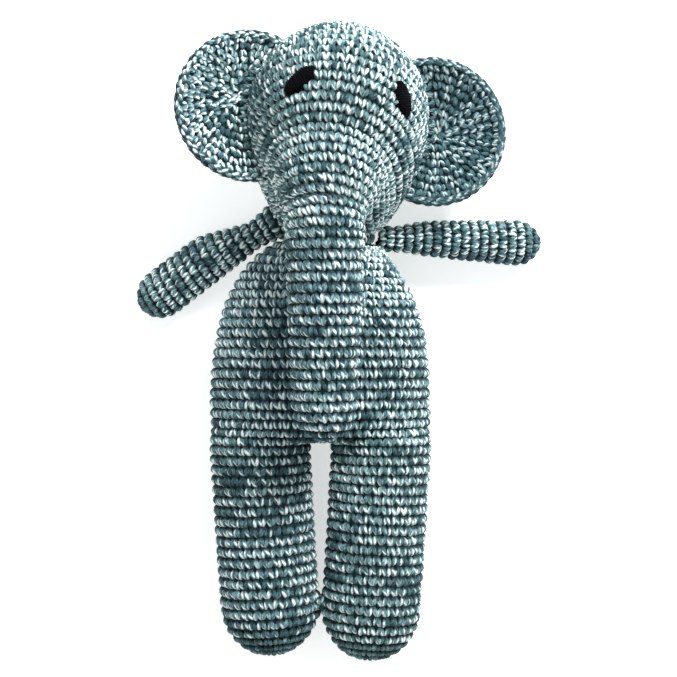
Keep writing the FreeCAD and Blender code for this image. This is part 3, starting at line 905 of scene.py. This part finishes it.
def head_rounds():
    """Rounds from the tip of the trunk, over its bend, across the face to the back of the head."""
    on = unit(bend - tip)
    start = surface_point(head_tree, tip - on * 60, on)
    straight = between(start, bend - on * 6.0, 50, round_start=15.0)
    root = head_middle + face * (HEAD_RADIUS - 8.0)
    a, d = straight[-1], root
    b, c = a + on * 11.0, root + face * 12.0
    t = np.linspace(0, 1, 26)[1:, None]
    curve = (1 - t) ** 3 * a + 3 * (1 - t) ** 2 * t * b + 3 * (1 - t) * t ** 2 * c + t ** 3 * d
    slope = (1 - t) ** 2 * (b - a) + 2 * (1 - t) * t * (c - b) + t ** 2 * (d - c)
    back = surface_point(head_tree, head_middle - face * 80, face)
    rest = between(root, back, 60, round_end=HEAD_RADIUS)[1:]
    centres = np.vstack([straight, curve, rest])
    tangents = np.vstack([np.tile(on, (len(straight), 1)), slope, np.tile(-face, (len(rest), 1))])
    return Rounds(cast_rings(head_tree, centres, tangents))


def make_head():
    """Head and trunk, worked in one from the tip of the trunk. The trunk's bend at its root is
    recorded in HOLDS_TO.
    """
    rounds = head_rounds()
    middles = rounds.grid[::4].mean(axis=1)
    out = (middles - head_middle) @ face
    on_head = middles[:, 1] > bend[1] + 4.0
    trunk_end = int(np.argmax(on_head & (out < HEAD_RADIUS + 6.0)))
    face_end = int(np.argmax(on_head & (out < 6.0)))
    HOLDS_TO["trunk"] = ("head", head_middle + face * (HEAD_RADIUS + 1.0),
                         head_middle + face * (HEAD_RADIUS + 17.0))
    cover("trunk", "trunk_crochet", rounds, 0, trunk_end, lean=0.22)
    cover("trunk", "head_crochet_face", rounds, trunk_end, face_end, lean=0.22)
    cover("head", "head_crochet_back", rounds, face_end, lean=0.22)
    ground("trunk", "trunk_fabric", rounds, "trunk_cover", 0, trunk_end)
    ground("trunk", "head_fabric", rounds, "head_cover", trunk_end)


# ---- arms

ARM_PITCH = 4.8  # the arms are worked a little finer
ARM_STITCH = 4.3
# the sewn end of each arm, inside the body: how far past the shoulder, and how much wider
ARM_FLARE = {"left": ((-2.0, 0.0), (0.0, 0.0), (9.0, 2.5), (20.0, 3.5), (22.0, 2.5)),
             "right": ((-2.0, 0.0), (0.0, 0.0), (7.0, 0.0), (9.0, 0.0))}


def make_arm(side):
    """One arm, from the fingertips to the end that is sewn into the body."""
    node, part = f"arm_{side}_cover", f"arm_{side}"
    points = node_points(node)
    sign = OUTWARD[side]
    far = (points[:, 0] * sign).max()
    hand_y = points[points[:, 0] * sign > far - 0.3][:, 1].mean()
    radius = hand_y - points[:, 1].min()
    shoulder = joint_at(f"arm_{side}_swing")
    hand = np.array([sign * (far - radius), hand_y, radius - 1.0])
    axis = unit(shoulder - hand)
    tree = cad_tree(node)
    root_radius = np.median(outside_in(tree, shoulder - axis * 2.0, axis)) - SINK
    root = closed_rings([shoulder + axis * run + spokes(axis) * (root_radius + wider)
                         for run, wider in ARM_FLARE[side]])
    shape = tube_shape(tree, hand - axis * (radius - 0.1), shoulder + axis * 6.4, 36)
    form = soft_form(f"arm_{side}_form", [shape, root], voxel=2.5, smoothing=5)
    tree = tree_of(form)
    start = surface_point(tree, hand - axis * 60, axis)
    end = surface_point(tree, shoulder + axis * 60, -axis)
    centres = between(start, end, 40, round_start=radius - 1, round_end=5.0)
    rounds = Rounds(cast_rings(tree, centres, np.tile(axis, (len(centres), 1))), pitch=ARM_PITCH)
    HOLDS_TO[part] = ("torso", shoulder + axis * 3.0, shoulder - axis * 9.0)
    cover(part, f"{part}_crochet", rounds, plain_rounds=HAND_PLAIN, stitch=ARM_STITCH)
    ground(part, f"{part}_fabric", rounds, node)
    return form


# ---- ears

EAR_CUP = 80.0  # radius of the shallow cup
EAR_WALL = 6.0  # both layers of stitches with the edging
EAR_PITCH = 4.7
EAR_STITCH = 4.4
EAR_TURNS = {"left": 12.0, "right": 10.0}  # degrees about the toy's long axis
EAR_STARTS = {"left": (-5.0, 5.0), "right": (3.5, -1.0)}  # first stitch, off the middle
EDGE_YARN = 1.25
EDGE_STITCH = 5.2  # length of a slip stitch along the rim
EDGE_LANES = 4
EDGE_OVERLAP = 1.35  # its strands are this many stitches long
EDGE_SLANT = 0.55
FACE_INSET = 3.2  # the faces end this far inside the outline
RIM_INSET = 3.4  # the edging's middle is this far inside it
RIM_ROUND = 1.9  # radius of the edging's round section
EAR_LINING = 2.2  # the fabric lies this deep under each face


class Ear:
    """The cup of one ear, placed in its CAD node's box."""

    def __init__(self, side):
        low, high = box(f"ear_{side}")
        self.side = side
        self.radius = (high[1] - low[1]) / 2
        turn = math.radians(EAR_TURNS[side])
        self.out = np.array([math.sin(turn), 0, math.cos(turn)])
        self.across = np.array([math.cos(turn), 0, -math.sin(turn)])
        self.middle = np.zeros(3)
        rim = np.vstack([self.ring(depth, self.radius - EAR_WALL / 2) for depth in (0, EAR_WALL)])
        outer = low[0] if side == "left" else high[0]
        edge = rim[:, 0].min() - EAR_WALL / 3 if side == "left" else rim[:, 0].max() + EAR_WALL / 3
        bottom = self.point(np.zeros(1), np.zeros(1), EAR_WALL)[0, 2]
        near = rim[:, 2].min() if side == "right" else bottom
        self.middle = np.array([outer - edge, (low[1] + high[1]) / 2, low[2] - min(near, bottom)])

    def point(self, x, y, depth):
        """Points of the cup at places across it and a depth below its inner face."""
        reach = EAR_CUP + depth
        arc = np.hypot(x, y) / (EAR_CUP + EAR_WALL / 2)
        angle = np.arctan2(y, x)
        flat = np.outer(np.cos(angle), self.across) + np.outer(np.sin(angle), UP)
        rise = EAR_CUP - reach * np.cos(arc)
        return self.middle + flat * (reach * np.sin(arc))[:, None] + np.outer(rise, self.out)

    def ring(self, depth, radius, share=1.0):
        """A ring of the ear. Rings shrink towards the first stitch, which is off the middle."""
        angle = np.arange(AROUND) * 2 * np.pi / AROUND
        start = EAR_STARTS[self.side]
        return self.point(start[0] * (1 - share) + radius * share * np.cos(angle),
                          start[1] * (1 - share) + radius * share * np.sin(angle), depth)

    def face_rounds(self, depth, facing):
        """Rounds of one face of the ear."""
        shares = np.linspace(0.01, 1.0, 40)
        rings = np.array([self.ring(depth, self.radius - FACE_INSET, share) for share in shares])
        return Rounds(rings, EAR_PITCH, facing)

    def edge_rounds(self):
        """A narrow band round the rim for the edging."""
        angles = np.linspace(-1.35, 1.35, 12)
        rim = self.radius - RIM_INSET
        rings = [self.ring(EAR_WALL / 2 + RIM_ROUND * math.sin(a), rim + RIM_ROUND * math.cos(a))
                 for a in angles]
        return Rounds(np.array(rings), 2.6)


def edging(name, rounds, keep):
    """Slip stitches round the rim of an ear: long slanting strands, side by side."""
    where = np.linspace(0, 1, LEG_POINTS)
    count = int(round(rounds.length[len(rounds.length) // 2] / EDGE_STITCH))
    levels, turns, heights, radii, shades = [], [], [], [], []
    for number, lane in enumerate(np.linspace(0.1, rounds.count - 0.1, EDGE_LANES)):
        slant = EDGE_SLANT if number % 2 else -EDGE_SLANT
        middle = np.arange(count) + 0.37 * number + rng.normal(0, 0.08, count)
        turns.append((middle[:, None] + EDGE_OVERLAP * where[None]) / count)
        levels.append(lane + slant * (where[None] - 0.5) + rng.normal(0, 0.06, (count, 1)))
        heights.append(EDGE_YARN * (-1.2 + 1.3 * arch(where)[None]) * np.ones((count, 1)))
        radii.append(EDGE_YARN * (0.65 + 0.35 * arch(where, 0.7))[None] * np.ones((count, 1)))
        shades.append(np.clip(yarn_runs(count) + rng.normal(0, 0.1, count), 0, 0.999))
    plains = [np.zeros(count)] * EDGE_LANES
    return lay_strands(name, rounds, keep, levels, turns, heights, radii, shades, plains)


def outside_head(points):
    """Which points lie outside the head, or only just inside it."""
    chosen = []
    for point in points:
        place, normal, _, _ = head_tree.find_nearest(Vector(point))
        chosen.append((Vector(point) - place).dot(normal) > -1.0)
    return np.array(chosen)


def trim_by_head(obj):
    """Cuts away what lies inside the head."""
    cut = obj.modifiers.new("Trim", "BOOLEAN")
    cut.operation = "DIFFERENCE"
    cut.solver = "EXACT"
    cut.object = head_form
    apply_modifiers(obj)


def make_ear(side):
    """One ear: two faces of stitches worked from its middle, the fabric between, and its edging."""
    ear, part = Ear(side), f"ear_{side}"
    hinge = joint_at(f"ear_{side}_fold")
    sideways = np.array([OUTWARD[side], 0, 0])
    HOLDS_TO[part] = ("head", hinge - sideways * 3.0, hinge + sideways * 10.0)
    pieces = []
    for face_name, depth, facing in (("front", SINK, ear.out), ("back", EAR_WALL - SINK, -ear.out)):
        rounds = ear.face_rounds(depth, facing)
        pieces.append(crochet(f"{part}_{face_name}_crochet", rounds, keep=outside_head,
                              stitch=EAR_STITCH, yarn=1.15, lean=0.05, jitter=0.10))
    pieces.append(edging(f"{part}_edging", ear.edge_rounds(), outside_head))
    for piece in pieces:
        present(piece, part, EAR_YARN[side])
    rim, shares = ear.radius - RIM_INSET, (0.02, 0.3, 0.6, 0.8, 0.95)
    layers = [ear.ring(EAR_LINING, rim, share) for share in shares]
    layers += [ear.ring(EAR_WALL / 2, rim + 1.0)]
    layers += [ear.ring(EAR_WALL - EAR_LINING, rim, share) for share in reversed(shares)]
    fabric = new_mesh(f"{part}_fabric", *closed_rings(layers))
    trim_by_head(fabric)
    present(fabric, part, SHADED, [f"ear_{side}"])


# ---- eyes

EYE_STRANDS = 15
EYE_YARN = 0.72
EYE_LIFT = 2.15  # the middle of the satin stitches stands this far off the face


def principal(points):
    """The middle of some points, and their longest and shortest directions."""
    axes = np.linalg.eigh(np.cov((points - points.mean(0)).T))[1]
    return points.mean(0), axes[:, 2], axes[:, 0]


def make_eye(side):
    """One eye: satin stitches side by side across a padded patch."""
    points = node_points(f"eye_{side}")
    middle, long, _ = principal(points)
    out = unit(middle - head_middle)
    long = unit(long - out * (long @ out))
    short = np.cross(out, long)
    half_long = np.abs((points - middle) @ long).max() - EYE_YARN
    half_short = np.abs((points - middle) @ short).max() - EYE_YARN * 0.5
    where = np.linspace(-1, 1, LEG_POINTS)
    paths, outs, radii = [], [], []
    for k in np.linspace(-1, 1, EYE_STRANDS):
        reach = half_short * (1 - abs(k) ** 2.6 * 0.62) + rng.normal(0, 0.16)
        shift = rng.normal(0, 0.15)
        row = []
        for w in where:
            rough = middle + long * (k * half_long + 0.5 * w) + short * (w * reach + shift)
            place, normal, _, _ = head_tree.find_nearest(Vector(rough))
            lift = EYE_LIFT * (1 - 0.12 * k * k) * (1 - abs(w) ** 5) - 0.6 * abs(w) ** 5
            row.append(np.array(place) + np.array(normal) * lift)
        paths.append(row)
        outs.append([out] * LEG_POINTS)
        radii.append(EYE_YARN * (1 - 0.3 * np.abs(where) ** 3) * 1.15)
    obj = strand_mesh(f"eye_{side}_satin_stitch", np.array(paths), np.array(outs), np.array(radii),
                      rng.random(EYE_STRANDS), np.ones(EYE_STRANDS))
    present(obj, "head", BLACK, [f"eye_{side}"])


# ---- seams

WHIP_SPACING = 3.6


def whip_seam(node, name, part, axis, arc_centre=None, reach=2.4, yarn=0.95):
    """Whip stitches along a CAD ring, which they cross the way its axis runs, or along an arc
    round a centre, which they cross outwards."""
    ring = arc_centre is None
    points = node_points(node)
    centre = points.mean(0) if ring else arc_centre
    local = points - centre
    axis = unit(axis)
    start = local[0] if ring else points.mean(0) - centre
    side = unit(start - axis * (start @ axis))
    turn_side = np.cross(axis, side)
    x, y, z = local @ side, local @ turn_side, local @ axis
    radius, angles = np.hypot(x, y).mean(), np.arctan2(y, x)
    first, last = (-math.pi, math.pi) if ring else (angles.min(), angles.max())
    count = int((last - first) * radius / WHIP_SPACING)
    where = np.linspace(-1, 1, LEG_POINTS)
    paths, outs = [], []
    for angle in first + (np.arange(count) + 0.5) / count * (last - first):
        radial = side * math.cos(angle) + turn_side * math.sin(angle)
        along = np.cross(axis, radial)
        across, out = (axis, radial) if ring else (radial, axis)
        point = centre + radial * radius + axis * z.mean()
        bow = (1 - where ** 2) * reach * 0.35
        paths.append(point + np.outer(where * reach, across) + np.outer(bow, out)
                     + np.outer(where * 0.8, along))
        outs.append([out] * LEG_POINTS)
    radii = yarn * (1 - 0.25 * np.abs(where) ** 3) * np.ones((count, 1))
    obj = strand_mesh(name, np.array(paths), np.array(outs), radii, rng.random(count), np.zeros(count))
    present(obj, part, SEWING, [node])


# ---- filling

LUMP = 1.0  # the filling is this uneven
LUMP_SCALE = 0.12  # lumps for each millimetre


def make_filling(part, node):
    """The fibre filling of one part: its CAD room, softened and lumpy."""
    cad = frame["nodes"][node]
    obj = new_mesh(node.replace("stuffing", "fibre_filling"), coords(cad), faces_of(cad))
    remesh_and_smooth(obj, voxel=2.5, smoothing=6)
    points = coords(obj)
    lumps = np.array([noise.noise(Vector(p) * LUMP_SCALE) for p in points])
    set_coords(obj, points - normals(obj) * (LUMP * (0.5 + 0.5 * lumps))[:, None])
    obj.data.shade_smooth()
    present(obj, part, FIBRE, [node])


# ---- stage

FLOOR_HALF = 3000  # half width of the floor
FLOOR_GLOW = 0.55  # the floor is lit from below too, as a light table is
WORLD_LIGHT = 0.48
LAMPS = (("key", (0.45, 0.80, 0.80), 0.50, 22.5),  # place in metres, width and watts
         ("fill", (-0.5, -0.3, 1.0), 0.9, 2.0))
AIM = (0, 0, 0.03)  # where both lamps point
CAMERA_PLACE = (0.0091, 0.0025, 0.800)
CAMERA_LENS = 80.6


def make_stage():
    """A pale floor, soft light from above the head, and the camera straight above."""
    corners = [(x * FLOOR_HALF, y * FLOOR_HALF, 0) for x, y in ((-1, -1), (1, -1), (1, 1), (-1, 1))]
    floor = new_mesh("floor", corners, [(0, 1, 2, 3)])
    n = Nodes("pale floor", 0.9)
    n.shader.inputs["Base Color"].default_value = (0.90, 0.90, 0.90, 1)
    n.shader.inputs["Emission Color"].default_value = (1, 1, 1, 1)
    n.shader.inputs["Emission Strength"].default_value = FLOOR_GLOW
    floor.data.materials.append(n.material)
    world = bpy.data.worlds.new("studio")
    bpy.context.scene.world = world
    world.use_nodes = True
    sky = world.node_tree.nodes["Background"]
    sky.inputs[0].default_value = (1, 1, 1, 1)
    sky.inputs[1].default_value = WORLD_LIGHT
    for name, place, size, power in LAMPS:
        data = bpy.data.lights.new(name, "AREA")
        data.shape = "DISK"
        data.size = size
        data.energy = power
        lamp = placed(name, data)
        lamp.location = place
        lamp.rotation_euler = (Vector(AIM) - Vector(place)).to_track_quat("-Z", "Y").to_euler()
    data = bpy.data.cameras.new("camera")
    data.lens = CAMERA_LENS
    camera = placed("camera", data)
    camera.location = CAMERA_PLACE
    scene = bpy.context.scene
    scene.camera = camera
    scene.view_settings.view_transform = "Standard"


make_body()
make_head()
arm_forms = [make_arm(side) for side in OUTWARD]
for side in OUTWARD:
    make_ear(side)
    make_eye(side)
    whip_seam(f"ear_seam_{side}", f"ear_{side}_whip_stitches", "head", (0, 0, 1),
              arc_centre=head_middle)
    shoulder = joint_at(f"arm_{side}_swing")
    whip_seam(f"shoulder_seam_{side}", f"shoulder_{side}_whip_stitches", "torso",
              node_points(f"arm_{side}_cover").mean(0) - shoulder, reach=1.8, yarn=0.8)
whip_seam("neck_seam", "neck_whip_stitches", "torso", principal(node_points("neck_seam"))[2],
          reach=1.9, yarn=0.85)
for name in ("body", "head", "trunk", "arm_left", "arm_right", "leg_left", "leg_right"):
    make_filling("torso" if name == "body" else name, f"{name}_stuffing")
for form in [body_form, head_form] + arm_forms:
    bpy.data.objects.remove(form)
make_stage()
